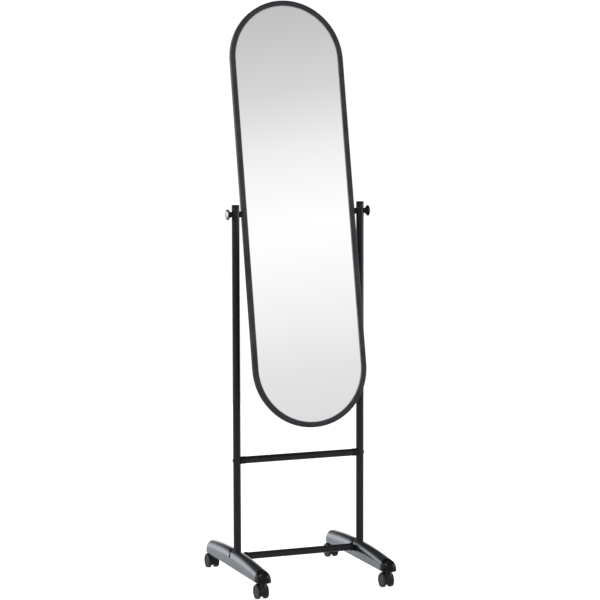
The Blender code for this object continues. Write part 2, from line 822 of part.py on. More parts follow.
def knob_start():
    """Distance from an upright's axis to the knob's neck."""
    return POST_RADIUS + WASHER_THICKNESS + GAP


def knob_flare(steps=4):
    """The knob's trumpet side from rim to neck: a cone whose slope steepens towards the neck."""
    rim_low = KNOB_LENGTH - KNOB_RIM
    points = []
    for i in range(steps + 1):
        share = i / steps
        radius = KNOB_RADIUS - (KNOB_RADIUS - KNOB_NECK_RADIUS) * share
        height = rim_low - (rim_low - KNOB_FLARE_START) * share ** KNOB_HOLLOW
        points.append((radius, height))
    return points


def make_knob(label, side):
    """A trumpet-shaped hand knob with a shallow recess for its cap."""
    lip_radius = KNOB_RADIUS - KNOB_LIP
    recess = KNOB_LENGTH - CAP_RECESS
    bore_radius = STUD_RADIUS + GAP
    bore_end = STUD_IN_KNOB + GAP
    profile = [(0, recess), (lip_radius - GAP, recess), (lip_radius - GAP, KNOB_LENGTH)]
    profile += [(KNOB_RADIUS - 0.3 * KNOB_LIP, KNOB_LENGTH), (KNOB_RADIUS, KNOB_LENGTH - 0.4 * KNOB_RIM)]
    profile += knob_flare()
    profile += [(KNOB_NECK_RADIUS, 0), (bore_radius, 0), (bore_radius, bore_end), (0, bore_end)]
    add_part("knob_" + label, turned(profile, KNOB_STEPS), KNOB_BLACK,
             location=(side * (POST_X + knob_start()), STAND_Y, PIVOT_HEIGHT), rotation=outward(side))


def make_knob_cap(label, side):
    """A domed bright cap set in the knob's recess."""
    radius = KNOB_RADIUS - KNOB_LIP - 2 * GAP
    low = KNOB_LENGTH - CAP_RECESS + GAP
    high = KNOB_LENGTH
    steps = 4
    profile = []
    for i in range(steps + 1):
        share = i / steps
        profile.append((radius * share, high + CAP_DOME * (1 - share * share)))
    profile += [(radius, low), (0, low)]
    add_part("knob_cap_" + label, turned(profile, KNOB_STEPS), CAP_CHROME,
             location=(side * (POST_X + knob_start()), STAND_Y, PIVOT_HEIGHT), rotation=outward(side))


def make_stud(label, side):
    """The threaded stud from the knob through the upright and spacer into the frame."""
    high = knob_start() + STUD_IN_KNOB
    low = -(POST_RADIUS + PIVOT_GAP + FRAME_WALL - 0.001)
    chamfer = 0.0006
    profile = [
        (0, high),
        (STUD_RADIUS, high),
        (STUD_RADIUS, low + chamfer),
        (STUD_RADIUS - chamfer, low),
        (0, low),
    ]
    add_part("pivot_stud_" + label, turned(profile, SMALL_STEPS), PLATED_STEEL,
             location=(side * POST_X, STAND_Y, PIVOT_HEIGHT), rotation=outward(side))


def make_stand():
    """Uprights, crossbars, their sockets and bolts, and the feet with their casters."""
    for label, side in SIDES.items():
        make_upright(label, side)
        make_upright_cap(label, side)
        make_middle_socket(label, side)
        make_lower_socket(label, side)
        make_bar_bolt("middle_bolt_" + label, side, MIDDLE_BAR_HEIGHT)
        make_bar_bolt("lower_bolt_" + label, side, LOWER_BAR_HEIGHT)
        make_rail(label, side)
        make_front_cover(label, side)
        make_rear_cover(label, side)
        make_nose_cap(label, side)
        for end, direction in (("front", -1), ("rear", 1)):
            make_caster(end + "_" + label + "_caster", side * POST_X, STAND_Y + direction * CASTER_Y)
    make_crossbar("middle_crossbar", MIDDLE_BAR_HEIGHT, middle_collar_end())
    make_crossbar("lower_crossbar", LOWER_BAR_HEIGHT, lower_collar_end())


def make_pivots():
    """The knobs, studs, washers and spacers that hold the mirror."""
    for label, side in SIDES.items():
        make_spacer(label, side)
        make_washer(label, side)
        make_knob(label, side)
        make_knob_cap(label, side)
        make_stud(label, side)


PARTS, CUTTERS = clear_scene()

STEEL_BLACK = make_material("black_steel", (0.018, 0.018, 0.020), 0.32)
PLASTIC_BLACK = make_material("black_plastic", (0.015, 0.015, 0.016), 0.45)
BOLT_STEEL = make_material("black_bolt", (0.03, 0.03, 0.03), 0.35, 0.8)
RAIL_STEEL = make_material("rail_steel", (0.06, 0.06, 0.065), 0.5, 0.6)
COVER_GREY = make_material("foot_cover_grey", (0.10, 0.11, 0.13), 0.25)
NOSE_BLACK = make_material("nose_black", (0.010, 0.010, 0.012), 0.25)
CASTER_BLACK = make_material("caster_black", (0.010, 0.010, 0.010), 0.35)
WHEEL_GREY = make_material("wheel_grey", (0.035, 0.035, 0.037), 0.45)
PLATED_STEEL = make_material("plated_steel", (0.60, 0.60, 0.62), 0.3, 1.0)
INSERT_BRASS = make_material("insert_brass", (0.62, 0.48, 0.24), 0.35, 1.0)
KNOB_BLACK = make_material("knob_black", (0.015, 0.015, 0.017), 0.3)
CAP_CHROME = make_material("knob_cap_chrome", (0.85, 0.85, 0.86), 0.12, 1.0)
FRAME_GREY = make_material("frame_charcoal", (0.045, 0.048, 0.052), 0.35, 0.3)
MIRROR_GLASS = make_material("mirror_glass", (0.92, 0.93, 0.93), 0.02, 1.0)
SEAL_RUBBER = make_material("seal_grey", (0.35, 0.36, 0.37), 0.5)
BOARD_FIBRE = make_material("backing_board", (0.05, 0.045, 0.04), 0.8)

make_stand()
make_mirror()
make_pivots()
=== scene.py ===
"""The cheval floor mirror as it looks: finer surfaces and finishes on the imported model.

Metres, +Z up. The mirror faces -Y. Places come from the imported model's own boxes; walls, sections and
other sizes that a box can't tell are named here.
"""

import json
import math

import bmesh
import bpy
import numpy as np
from mathutils import Matrix, Vector


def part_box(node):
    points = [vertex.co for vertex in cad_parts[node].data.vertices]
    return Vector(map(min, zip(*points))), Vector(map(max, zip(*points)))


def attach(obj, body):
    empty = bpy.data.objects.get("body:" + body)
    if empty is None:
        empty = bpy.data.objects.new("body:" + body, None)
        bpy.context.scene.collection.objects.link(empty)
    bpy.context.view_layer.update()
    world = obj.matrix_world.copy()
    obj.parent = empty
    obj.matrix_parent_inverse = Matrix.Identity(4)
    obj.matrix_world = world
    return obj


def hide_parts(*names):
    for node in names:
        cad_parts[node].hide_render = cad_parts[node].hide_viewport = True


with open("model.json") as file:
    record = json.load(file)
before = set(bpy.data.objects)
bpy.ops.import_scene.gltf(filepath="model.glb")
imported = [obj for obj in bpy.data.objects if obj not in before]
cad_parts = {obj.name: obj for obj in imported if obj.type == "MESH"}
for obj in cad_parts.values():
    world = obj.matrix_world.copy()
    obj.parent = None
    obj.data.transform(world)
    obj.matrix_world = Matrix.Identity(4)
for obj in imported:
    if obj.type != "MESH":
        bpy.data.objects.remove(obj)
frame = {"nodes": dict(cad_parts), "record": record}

SIDES = {"left": -1.0, "right": 1.0}
CASTERS = [end + "_" + side for end in ("front", "rear") for side in SIDES]
NODES = frame["nodes"]
BODY_OF = {node: body for body, nodes in frame["record"]["behaviour"]["bodies"].items() for node in nodes}
SLOT_OF = {part["node"]: part["material_slot"] for part in frame["record"]["subparts"]}

X_AXIS = np.array([1.0, 0.0, 0.0])
Z_AXIS = np.array([0.0, 0.0, 1.0])
GAP = 0.0003
STUD_HOLE = 0.0033
HOLE_CUT = 0.04
NOSE_RADIUS = 0.006
SADDLE_START = 0.0062
SOCKET_START = 0.007
LOWER_COLLAR_LENGTH = 0.009
SADDLE_CUT = 0.06


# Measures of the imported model

def lowest(node):
    """Lowest corner of a node's box."""
    return np.array(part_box(node)[0])


def highest(node):
    """Highest corner of a node's box."""
    return np.array(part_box(node)[1])


def middle(node):
    """Centre of a node's box."""
    return (lowest(node) + highest(node)) / 2


def extent(node):
    """Size of a node's box."""
    return highest(node) - lowest(node)


POST_RADIUS = extent("upright_right")[0] / 2
POST_X = middle("upright_right")[0]
STAND_Y = middle("upright_right")[1]
PIVOT = np.array([0.0, STAND_Y, middle("pivot_stud_right")[2]])
TUBE_WALL = 0.0012
MIRROR_TILT = math.radians(11.5)


def post_axis(side, height):
    """The point on an upright's axis at a height."""
    return np.array([SIDES[side] * POST_X, STAND_Y, height])


# Surfaces as grids of points

def fold_lengths(points, axis):
    """Running length along one direction of a grid, averaged over the other: a flat scale for its pattern."""
    steps = np.linalg.norm(np.diff(points, axis=axis), axis=2).mean(axis=1 - axis)
    return np.concatenate([[0.0], np.cumsum(steps)])


def grid_mesh(name, points, wrap_rows=False, wrap_columns=False):
    """Quads between neighbours of a rows x columns grid of points.

    Either direction may close on itself. Each corner's pattern place is the running length along the rows
    and along the columns, in metres. Points that coincide, at poles and seams, are joined, and the faces are
    turned outwards.
    """
    if wrap_rows:
        points = np.concatenate([points, points[:1]])
    if wrap_columns:
        points = np.concatenate([points, points[:, :1]], axis=1)
    along, across = fold_lengths(points, 0), fold_lengths(points, 1)
    index = np.arange(points.shape[0] * points.shape[1]).reshape(points.shape[:2])
    quads = np.stack([index[:-1, :-1], index[:-1, 1:], index[1:, 1:], index[1:, :-1]], axis=-1).reshape(-1, 4)
    mesh = bpy.data.meshes.new(name)
    mesh.from_pydata(points.reshape(-1, 3), [], quads)
    pattern = np.stack(np.meshgrid(along, across, indexing="ij"), axis=-1).reshape(-1, 2)
    layer = mesh.uv_layers.new(name="Pattern")
    layer.data.foreach_set("uv", pattern[quads.reshape(-1)].astype(np.float32).ravel())
    close_mesh(mesh)
    return mesh


def close_mesh(mesh):
    """Join points that coincide and turn the faces outwards."""
    bm = bmesh.new()
    bm.from_mesh(mesh)
    bmesh.ops.remove_doubles(bm, verts=bm.verts, dist=0.000002)
    bmesh.ops.recalc_face_normals(bm, faces=bm.faces)
    bm.to_mesh(mesh)
    bm.free()


def soften(points, radius, closed=False, steps=5):
    """Round a polyline's corners: each becomes a parabola that starts and ends one radius away from it.

    The radius may be one number or one for each corner, and never reaches past 0.48 of an edge.
    """
    points = np.asarray(points, dtype=float)
    before, after = np.roll(points, 1, axis=0), np.roll(points, -1, axis=0)
    back, ahead = before - points, after - points
    back_length, ahead_length = np.linalg.norm(back, axis=1), np.linalg.norm(ahead, axis=1)
    reach = np.minimum(np.broadcast_to(radius, len(points)), 0.48 * np.minimum(back_length, ahead_length))
    if not closed:
        reach = reach * (np.arange(len(points)) % (len(points) - 1) > 0)
    start = points + back * (reach / back_length)[:, None]
    end = points + ahead * (reach / ahead_length)[:, None]
    share = np.linspace(0, 1, steps)[None, :, None]
    corner = 2 * share * (1 - share) * points[:, None]
    curve = (1 - share) ** 2 * start[:, None] + corner + share ** 2 * end[:, None]
    return curve.reshape(-1, 2)


def turned(name, profile, origin, axis, steps=64, closed=False, shape=None):
    """A profile of (radius, height) carried round an axis.

    Point = origin + height * axis + radius * shape * (cos a * u + sin a * v), where u and v are square to
    the axis. shape, if given, is a factor for each profile point and angle.
    """
    profile = np.asarray(profile, dtype=float)
    axis = np.asarray(axis, dtype=float)
    first = np.cross(axis, [0.0, 1.0, 0.0])
    first /= np.linalg.norm(first)
    second = np.cross(axis, first)
    angle = np.linspace(0, 2 * np.pi, steps, endpoint=False)
    circle = np.cos(angle)[:, None] * first + np.sin(angle)[:, None] * second
    radius = profile[:, :1] * np.ones(steps) if shape is None else profile[:, :1] * shape(profile, angle)
    points = origin + profile[:, 1, None, None] * axis + radius[..., None] * circle
    return grid_mesh(name, points, wrap_rows=closed, wrap_columns=True)


def ring_profile(outer, inner, low, high, edge):
    """A tube's wall as a closed profile with rounded edges."""
    return soften([(outer, high), (outer, low), (inner, low), (inner, high)], edge, closed=True)


def tinted(piece, finish):
    """Give a piece its one finish and smooth shading that keeps edges over 38 degrees."""
    piece.data.materials.clear()
    piece.data.materials.append(finish)
    piece.data.shade_smooth()
    piece.data.set_sharp_from_angle(angle=math.radians(38))
    return piece


def place(mesh, finish, node, name=None, replace=True):
    """Link a finished mesh as a piece that rides with a node's body and stands for the node."""
    piece = bpy.data.objects.new(name or node + "_skin", mesh)
    bpy.context.scene.collection.objects.link(piece)
    tinted(piece, finish)
    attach(piece, BODY_OF[node])
    if replace:
        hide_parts(node)
    return piece


def drilled(mesh, holes):
    """The mesh with round holes cut through it: each hole is (radius, centre, axis, length)."""
    piece = bpy.data.objects.new("blank", mesh)
    bpy.context.scene.collection.objects.link(piece)
    drills = []
    for radius, centre, axis, length in holes:
        profile = [(0, length / 2), (radius, length / 2), (radius, -length / 2), (0, -length / 2)]
        drill = bpy.data.objects.new("drill", turned("drill", profile, centre, axis, steps=64))
        bpy.context.scene.collection.objects.link(drill)
        cut = piece.modifiers.new("hole", "BOOLEAN")
        cut.operation = "DIFFERENCE"
        cut.solver = "MANIFOLD"
        cut.object = drill
        drills.append(drill)
    return applied(piece, drills)


def applied(piece, helpers=()):
    """The mesh that a piece's modifiers make; the piece and its helpers are removed."""
    bpy.context.view_layer.update()
    mesh = bpy.data.meshes.new_from_object(piece.evaluated_get(bpy.context.evaluated_depsgraph_get()))
    for obj in (piece, *helpers):
        bpy.data.objects.remove(obj)
    return mesh


# Finishes

def blank_finish(name, color, roughness, metallic=0.0, **sockets):
    """A Principled material with fixed values; returns the material, its tree and its shader."""
    material = bpy.data.materials.new(name)
    material.use_nodes = True
    shader = material.node_tree.nodes["Principled BSDF"]
    shader.inputs["Base Color"].default_value = (*color, 1.0)
    shader.inputs["Roughness"].default_value = roughness
    shader.inputs["Metallic"].default_value = metallic
    for socket, value in sockets.items():
        shader.inputs[socket.replace("_", " ")].default_value = value
    return material, material.node_tree, shader


def coordinates(tree, stretch=(1.0, 1.0, 1.0), own_pattern=False):
    """Object coordinates, or the piece's own pattern map, scaled along each direction."""
    source = tree.nodes.new("ShaderNodeUVMap" if own_pattern else "ShaderNodeTexCoord")
    if own_pattern:
        source.uv_map = "Pattern"
    mapping = tree.nodes.new("ShaderNodeMapping")
    mapping.inputs["Scale"].default_value = stretch
    tree.links.new(source.outputs["UV" if own_pattern else "Object"], mapping.inputs["Vector"])
    return mapping.outputs["Vector"]


def noise(tree, vector, scale, detail=4.0, rough=0.5):
    """Fractal noise from 0 to 1."""
    texture = tree.nodes.new("ShaderNodeTexNoise")
    texture.inputs["Scale"].default_value = scale
    texture.inputs["Detail"].default_value = detail
    texture.inputs["Roughness"].default_value = rough
    tree.links.new(vector, texture.inputs["Vector"])
    return texture.outputs["Fac"]


def cells(tree, vector, scale, feature="F1"):
    """Distance to the nearest of scattered points: a pebbled grain."""
    texture = tree.nodes.new("ShaderNodeTexVoronoi")
    texture.feature = feature
    texture.inputs["Scale"].default_value = scale
    tree.links.new(vector, texture.inputs["Vector"])
    return texture.outputs["Distance"]


def ranged(tree, value, low, high, start=0.3, end=0.7):
    """Map a value between start and end to the range low to high."""
    mapped = tree.nodes.new("ShaderNodeMapRange")
    mapped.interpolation_type = "SMOOTHSTEP"
    mapped.inputs["From Min"].default_value = start
    mapped.inputs["From Max"].default_value = end
    mapped.inputs["To Min"].default_value = low
    mapped.inputs["To Max"].default_value = high
    tree.links.new(value, mapped.inputs["Value"])
    return mapped.outputs["Result"]


def blended(tree, factor, first, second):
    """A colour between two, by a factor."""
    mix = tree.nodes.new("ShaderNodeMix")
    mix.data_type = "RGBA"
    tree.links.new(factor, mix.inputs["Factor"])
    for socket, color in zip(("A", "B"), (first, second)):
        slot = [s for s in mix.inputs if s.name == socket and s.type == "RGBA"][0]
        if isinstance(color, tuple):
            slot.default_value = (*color, 1.0)
        else:
            tree.links.new(color, slot)
    return [s for s in mix.outputs if s.type == "RGBA"][0]


def raised(tree, shader, height, distance, strength=1.0):
    """Bump from a height between 0 and 1, over the given distance in metres."""
    bump = tree.nodes.new("ShaderNodeBump")
    bump.inputs["Strength"].default_value = strength
    bump.inputs["Distance"].default_value = distance
    tree.links.new(height, bump.inputs["Height"])
    tree.links.new(bump.outputs["Normal"], shader.inputs["Normal"])


def powder_coat(name, color, lighter, roughness, specular=0.25):
    """Baked powder paint: an orange-peel skin about 1 mm across, slightly cloudy in colour and gloss."""
    material, tree, shader = blank_finish(name, color, roughness, Specular_IOR_Level=specular)
    vector = coordinates(tree)
    cloud = noise(tree, vector, 14, 3)
    tree.links.new(blended(tree, ranged(tree, cloud, 0, 1), color, lighter), shader.inputs["Base Color"])
    tree.links.new(ranged(tree, noise(tree, vector, 60, 3), roughness - 0.05, roughness + 0.06),
                   shader.inputs["Roughness"])
    raised(tree, shader, noise(tree, vector, 700, 2), 0.000015, 0.15)
    return material


def moulded(name, color, lighter, roughness, grain=2200, depth=0.00003, specular=0.25):
    """Injection-moulded plastic with a fine pebbled grain and faint rubbed patches."""
    material, tree, shader = blank_finish(name, color, roughness, Specular_IOR_Level=specular)
    vector = coordinates(tree)
    rubbed = ranged(tree, noise(tree, vector, 40, 5, 0.6), 0, 1, 0.45, 0.75)
    tree.links.new(blended(tree, rubbed, color, lighter), shader.inputs["Base Color"])
    tree.links.new(ranged(tree, noise(tree, vector, 120, 4), roughness - 0.06, roughness + 0.08),
                   shader.inputs["Roughness"])
    raised(tree, shader, cells(tree, vector, grain), depth, 0.25)
    return material


def metallic_lacquer():
    """Graphite lacquer over a moulded cover: fine bright flakes under a clear coat, with faint flow marks."""
    color, lighter = (0.34, 0.365, 0.41), (0.41, 0.435, 0.475)
    material, tree, shader = blank_finish("foot_lacquer", color, 0.2, 1.0, Coat_Weight=0.1,
                                          Coat_Roughness=0.1)
    vector = coordinates(tree)
    flow = noise(tree, coordinates(tree, (1.0, 0.35, 1.0)), 22, 4, 0.55)
    flake = ranged(tree, cells(tree, vector, 1500), 1, 0, 0.05, 0.45)
    base = blended(tree, ranged(tree, flow, 0, 1), color, lighter)
    tree.links.new(blended(tree, ranged(tree, flake, 0, 0.25, 0.0, 1.0), base, (0.60, 0.63, 0.68)),
                   shader.inputs["Base Color"])
    tree.links.new(ranged(tree, flow, 0.19, 0.26), shader.inputs["Roughness"])
    raised(tree, shader, noise(tree, vector, 500, 3), 0.00002, 0.25)
    return material


def anodised():
    """Dark anodised extrusion: fine lines drawn along the frame and slight cloudiness."""
    color, lighter = (0.050, 0.053, 0.060), (0.078, 0.082, 0.092)
    material, tree, shader = blank_finish("frame_anodised", color, 0.34, 0.7, Specular_IOR_Level=0.3)
    lines = noise(tree, coordinates(tree, (6.0, 2600.0, 1.0), own_pattern=True), 1.0, 4, 0.6)
    cloud = noise(tree, coordinates(tree), 18, 3)
    tree.links.new(blended(tree, ranged(tree, cloud, 0, 1), color, lighter), shader.inputs["Base Color"])
    tree.links.new(ranged(tree, lines, 0.28, 0.42), shader.inputs["Roughness"])
    raised(tree, shader, lines, 0.000015, 0.3)
    return material


def plated(name, color, roughness):
    """Plated metal: slight staining and the faintest unevenness."""
    material, tree, shader = blank_finish(name, color, roughness, 1.0)
    stain = noise(tree, coordinates(tree), 260, 4)
    darker = tuple(0.92 * channel for channel in color)
    tree.links.new(blended(tree, ranged(tree, stain, 0, 1), color, darker), shader.inputs["Base Color"])
    tree.links.new(ranged(tree, stain, roughness - 0.03, roughness + 0.05), shader.inputs["Roughness"])
    raised(tree, shader, noise(tree, coordinates(tree), 2600, 2), 0.000004, 0.2)
    return material


def silvered_glass():
    """Silver behind clear glass: a clean mirror with the faintest haze."""
    material, tree, shader = blank_finish("silvered_glass", (0.957, 0.957, 0.957), 0.0, 1.0)
    haze = noise(tree, coordinates(tree), 5, 3)
    tree.links.new(blended(tree, ranged(tree, haze, 0, 1), (0.957, 0.957, 0.957), (0.950, 0.951, 0.952)),
                   shader.inputs["Base Color"])
    return material


def hardboard():
    """Pressed fibre board: matted dark fibres with lighter strands."""
    color, lighter = (0.055, 0.038, 0.026), (0.115, 0.080, 0.052)
    material, tree, shader = blank_finish("hardboard", color, 0.75)
    fibres = noise(tree, coordinates(tree, (900.0, 120.0, 160.0)), 1.0, 5, 0.65)
    strands = noise(tree, coordinates(tree, (140.0, 900.0, 700.0)), 1.0, 5, 0.65)
    both = tree.nodes.new("ShaderNodeMath")
    both.operation = "MAXIMUM"
    tree.links.new(fibres, both.inputs[0])
    tree.links.new(strands, both.inputs[1])
    tree.links.new(blended(tree, ranged(tree, both.outputs[0], 0, 1, 0.45, 0.75), color, lighter),
                   shader.inputs["Base Color"])
    tree.links.new(ranged(tree, both.outputs[0], 0.66, 0.85), shader.inputs["Roughness"])
    raised(tree, shader, both.outputs[0], 0.0002, 0.5)
    return material


def make_finishes():
    """Every finish, by the record's material slot."""
    return {
        "black_steel": powder_coat("black_powder_coat", (0.013, 0.013, 0.018), (0.018, 0.018, 0.024),
                                   0.30, 0.4),
        "black_plastic": moulded("black_plastic", (0.0085, 0.0085, 0.0095), (0.016, 0.016, 0.017), 0.42),
        "black_bolt": plated("black_oxide", (0.05, 0.05, 0.052), 0.38),
        "rail_steel": powder_coat("rail_paint", (0.010, 0.010, 0.011), (0.015, 0.015, 0.016), 0.5),
        "foot_cover_grey": metallic_lacquer(),
        "nose_black": moulded("nose_gloss", (0.006, 0.006, 0.0085), (0.010, 0.010, 0.013),
                              0.24, 900, 0.00001),
        "caster_black": moulded("caster_nylon", (0.0055, 0.0055, 0.006), (0.010, 0.010, 0.011),
                                0.30, specular=0.45),
        "wheel_grey": moulded("wheel_nylon", (0.050, 0.050, 0.051), (0.068, 0.068, 0.068),
                              0.36, 1600, specular=0.6),
        "plated_steel": plated("zinc_plate", (0.55, 0.56, 0.58), 0.3),
        "insert_brass": plated("dark_brass", (0.14, 0.105, 0.06), 0.4),
        "knob_black": moulded("knob_gloss", (0.0065, 0.0065, 0.008), (0.011, 0.011, 0.013),
                              0.28, 900, 0.00001),
        "knob_cap_chrome": plated("knob_cap_chrome", (0.88, 0.89, 0.90), 0.14),
        "frame_charcoal": anodised(),
        "mirror_glass": silvered_glass(),
        "seal_grey": moulded("seal_rubber", (0.66, 0.66, 0.70), (0.74, 0.74, 0.78), 0.45),
        "backing_board": hardboard(),
    }


FINISHES = make_finishes()


def finish_of(node):
    """The finish of a node's slot."""
    return FINISHES[SLOT_OF[node]]


# Uprights and crossbars

def upright_tube(side):
    """The steel tube, drilled for the pivot stud and both crossbar bolts."""
    node = "upright_" + side
    low, high = lowest(node)[2], highest(node)[2]
    profile = ring_profile(POST_RADIUS, POST_RADIUS - TUBE_WALL, low, high, 0.0003)
    tube = turned(node, profile, post_axis(side, 0), Z_AXIS, closed=True)
    heights = [PIVOT[2], middle("middle_crossbar")[2], middle("lower_crossbar")[2]]
    holes = [(STUD_HOLE, post_axis(side, height), X_AXIS, HOLE_CUT) for height in heights]
    place(drilled(tube, holes), finish_of(node), node)


def upright_cap(side):
    """A pressed-in cap: a softly rounded disc on a plain plug."""
    node = "upright_cap_" + side
    base = highest("upright_" + side)[2] + GAP
    top, low = highest(node)[2], lowest(node)[2]
    plug = POST_RADIUS - TUBE_WALL - GAP
    profile = [(0, top), (POST_RADIUS, top), (POST_RADIUS, base), (plug, base), (plug, low), (0, low)]
    mesh = turned(node, soften(profile, [0, 0.0016, 0.0003, 0.0002, 0.001, 0]), post_axis(side, 0), Z_AXIS)
    place(mesh, finish_of(node), node)


def crossbar(node):
    """A steel tube between two sockets."""
    radius = extent(node)[2] / 2
    half = extent(node)[0] / 2
    profile = ring_profile(radius, radius - TUBE_WALL, -half, half, 0.0003)
    place(turned(node, profile, middle(node), X_AXIS, closed=True), finish_of(node), node)


def socket_with_saddle(level, side):
    """A socket: collar, spigot inside the bar, and a saddle where it meets the upright."""
    node = level + "_socket_" + side
    bar = level + "_crossbar"
    inward = -SIDES[side] * X_AXIS
    height = middle(bar)[2]
    collar = extent(node)[2] / 2
    bar_end = POST_X - extent(bar)[0] / 2 - GAP
    tip = POST_X - min(abs(lowest(node)[0]), abs(highest(node)[0]))
    spigot = extent(bar)[2] / 2 - TUBE_WALL - GAP
    if level == "lower":
        start = bar_end - LOWER_COLLAR_LENGTH
        nose = [(NOSE_RADIUS, start), (NOSE_RADIUS, SOCKET_START), (0, SOCKET_START)]
        nose_edges = [0.0002, 0.0002, 0]
    else:
        start = SOCKET_START
        nose = [(0, start)]
        nose_edges = [0]
    profile = [(0, tip), (spigot, tip), (spigot, bar_end), (collar, bar_end), (collar, start), *nose]
    edges = [0, 0.001, 0.0001, 0.0007, 0.0007, *nose_edges]
    mesh = turned(node, soften(profile, edges), post_axis(side, height), inward)
    saddle = (POST_RADIUS + GAP, post_axis(side, height), Z_AXIS, SADDLE_CUT)
    place(drilled(mesh, [saddle]), finish_of(node), node)


KEY_RADIUS = 0.0018
SHANK_RADIUS = 0.003


def hexagon(profile, angle):
    """Factor that makes the profile's recess points a hexagon and leaves the rest round."""
    sector = (angle + np.pi / 6) % (np.pi / 3) - np.pi / 6
    inside = (profile[:, 0] > 0) & (profile[:, 0] < KEY_RADIUS + 0.0001)
    return np.where(inside[:, None], 1 / np.cos(sector)[None, :], 1.0)


def bar_bolt(level, side):
    """A low round head with a hexagon socket, on a plain shank."""
    node = level + "_bolt_" + side
    outward = SIDES[side] * X_AXIS
    head = extent(node)[2] / 2
    top = max(abs(lowest(node)[0]), abs(highest(node)[0])) - POST_X
    tip = min(abs(lowest(node)[0]), abs(highest(node)[0])) - POST_X
    seat = POST_RADIUS + GAP
    depth = 0.0012
    profile = [(0, top - depth), (KEY_RADIUS, top - depth), (KEY_RADIUS, top), (head, top), (head, seat),
               (SHANK_RADIUS, seat), (SHANK_RADIUS, tip), (0, tip)]
    edges = [0, 0.0001, 0.0001, 0.0011, 0.0001, 0.0001, 0.0005, 0]
    mesh = turned(node, soften(profile, edges), post_axis(side, middle(node)[2]), outward, shape=hexagon)
    place(mesh, finish_of(node), node)


# Feet

FOOT_POWER = 2.3
FOOT_WALL = 0.0022
FOOT_SAG_FRONT = 0.31
FOOT_SAG_REAR = 0.25
END_DROP = 0.45
NOTCH_RADIUS = 0.006
SHOULDER_LENGTH = 0.024
SHOULDER_DROP = 0.14
# The foot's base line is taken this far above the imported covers' lowest point.
BASE_RISE = 0.0003
FOOT_BOTTOM = lowest("foot_front_cover_right")[2] + BASE_RISE
FOOT_HALF_WIDTH = extent("foot_front_cover_right")[0] / 2
FOOT_HEIGHT = highest("foot_front_cover_right")[2] - FOOT_BOTTOM
FOOT_FRONT = lowest("foot_nose_cap_right")[1] - STAND_Y
FOOT_REAR = highest("foot_rear_cover_right")[1] - STAND_Y
SEAM = highest("foot_front_cover_right")[1] - STAND_Y
NOSE_SEAM = lowest("foot_front_cover_right")[1] - STAND_Y


def foot_arches(side, along, width, height, steps=48):
    """Arches of the foot: x = half width * w * c^(2/p), z = ridge * h * s^(2/p).

    c and s are the cosine and sine of an angle from 0 to 180 degrees, and the ridge sinks with the square of
    the distance from the upright.
    """
    angle = np.linspace(0, np.pi, steps + 1)
    across = np.sign(np.cos(angle)) * np.abs(np.cos(angle)) ** (2 / FOOT_POWER)
    up = np.abs(np.sin(angle)) ** (2 / FOOT_POWER)
    sag = np.where(along > 0, FOOT_SAG_REAR, FOOT_SAG_FRONT)
    ridge = (FOOT_HEIGHT - sag * along ** 2) * height
    x = SIDES[side] * POST_X + FOOT_HALF_WIDTH * width[:, None] * across
    y = STAND_Y + along[:, None] + 0 * across
    z = FOOT_BOTTOM + ridge[:, None] * up
    return np.stack([x, y, z], axis=-1)


def rounded_end(start, end, steps=16):
    """Stations round a foot's end: a quarter turn in plan while the ridge comes down."""
    angle = np.linspace(0, np.pi / 2, steps + 1)[1:]
    width = np.cos(angle)
    width[-1] = 0.0
    return start + (end - start) * np.sin(angle), width, 1 - END_DROP * (1 - np.cos(angle))


def straight(start, end, steps):
    """Stations of full width and height."""
    along = np.linspace(start, end, steps + 1)
    return along, np.ones(steps + 1), np.ones(steps + 1)


def joined(*runs):
    """Stations of several runs one after another."""
    return [np.concatenate(values) for values in zip(*runs)]


def moulded_cover(node, side, stations, holes=()):
    """A cover: its arches thickened inwards, drilled, and its edges eased."""
    mesh = grid_mesh(node, foot_arches(side, *stations))
    if max(mesh.polygons, key=lambda face: face.center.z).normal.z < 0:
        mesh.flip_normals()
    blank = bpy.data.objects.new("blank", mesh)
    bpy.context.scene.collection.objects.link(blank)
    wall = blank.modifiers.new("wall", "SOLIDIFY")
    wall.thickness = FOOT_WALL
    wall.offset = -1
    wall.use_even_offset = True
    mesh = applied(blank)
    if holes:
        mesh = drilled(mesh, holes)
    piece = place(mesh, finish_of(node), node)
    ease = piece.modifiers.new("eased_edges", "BEVEL")
    ease.width = 0.0004
    ease.segments = 2
    ease.limit_method = "ANGLE"
    ease.angle_limit = math.radians(50)
    return piece


def notch(side):
    """The round notch in the foot's outer side, half in each cover, to lift them off by."""
    bar = middle("lower_crossbar")[2]
    seam = np.array([SIDES[side] * (POST_X + FOOT_HALF_WIDTH), STAND_Y + SEAM + GAP / 2, bar])
    return NOTCH_RADIUS, seam, X_AXIS, FOOT_HALF_WIDTH


def front_cover(side):
    """The front cover, with holes for the upright and the crossbar's socket, and its half of the notch."""
    node = "foot_front_cover_" + side
    bar = middle("lower_crossbar")[2]
    out = SIDES[side] * FOOT_HALF_WIDTH * X_AXIS
    holes = [
        (POST_RADIUS + GAP, post_axis(side, FOOT_BOTTOM + FOOT_HEIGHT), Z_AXIS, FOOT_HEIGHT),
        (NOSE_RADIUS + GAP, post_axis(side, bar) - out, X_AXIS, FOOT_HALF_WIDTH),
        notch(side),
    ]
    moulded_cover(node, side, straight(SEAM, NOSE_SEAM, 40), holes)


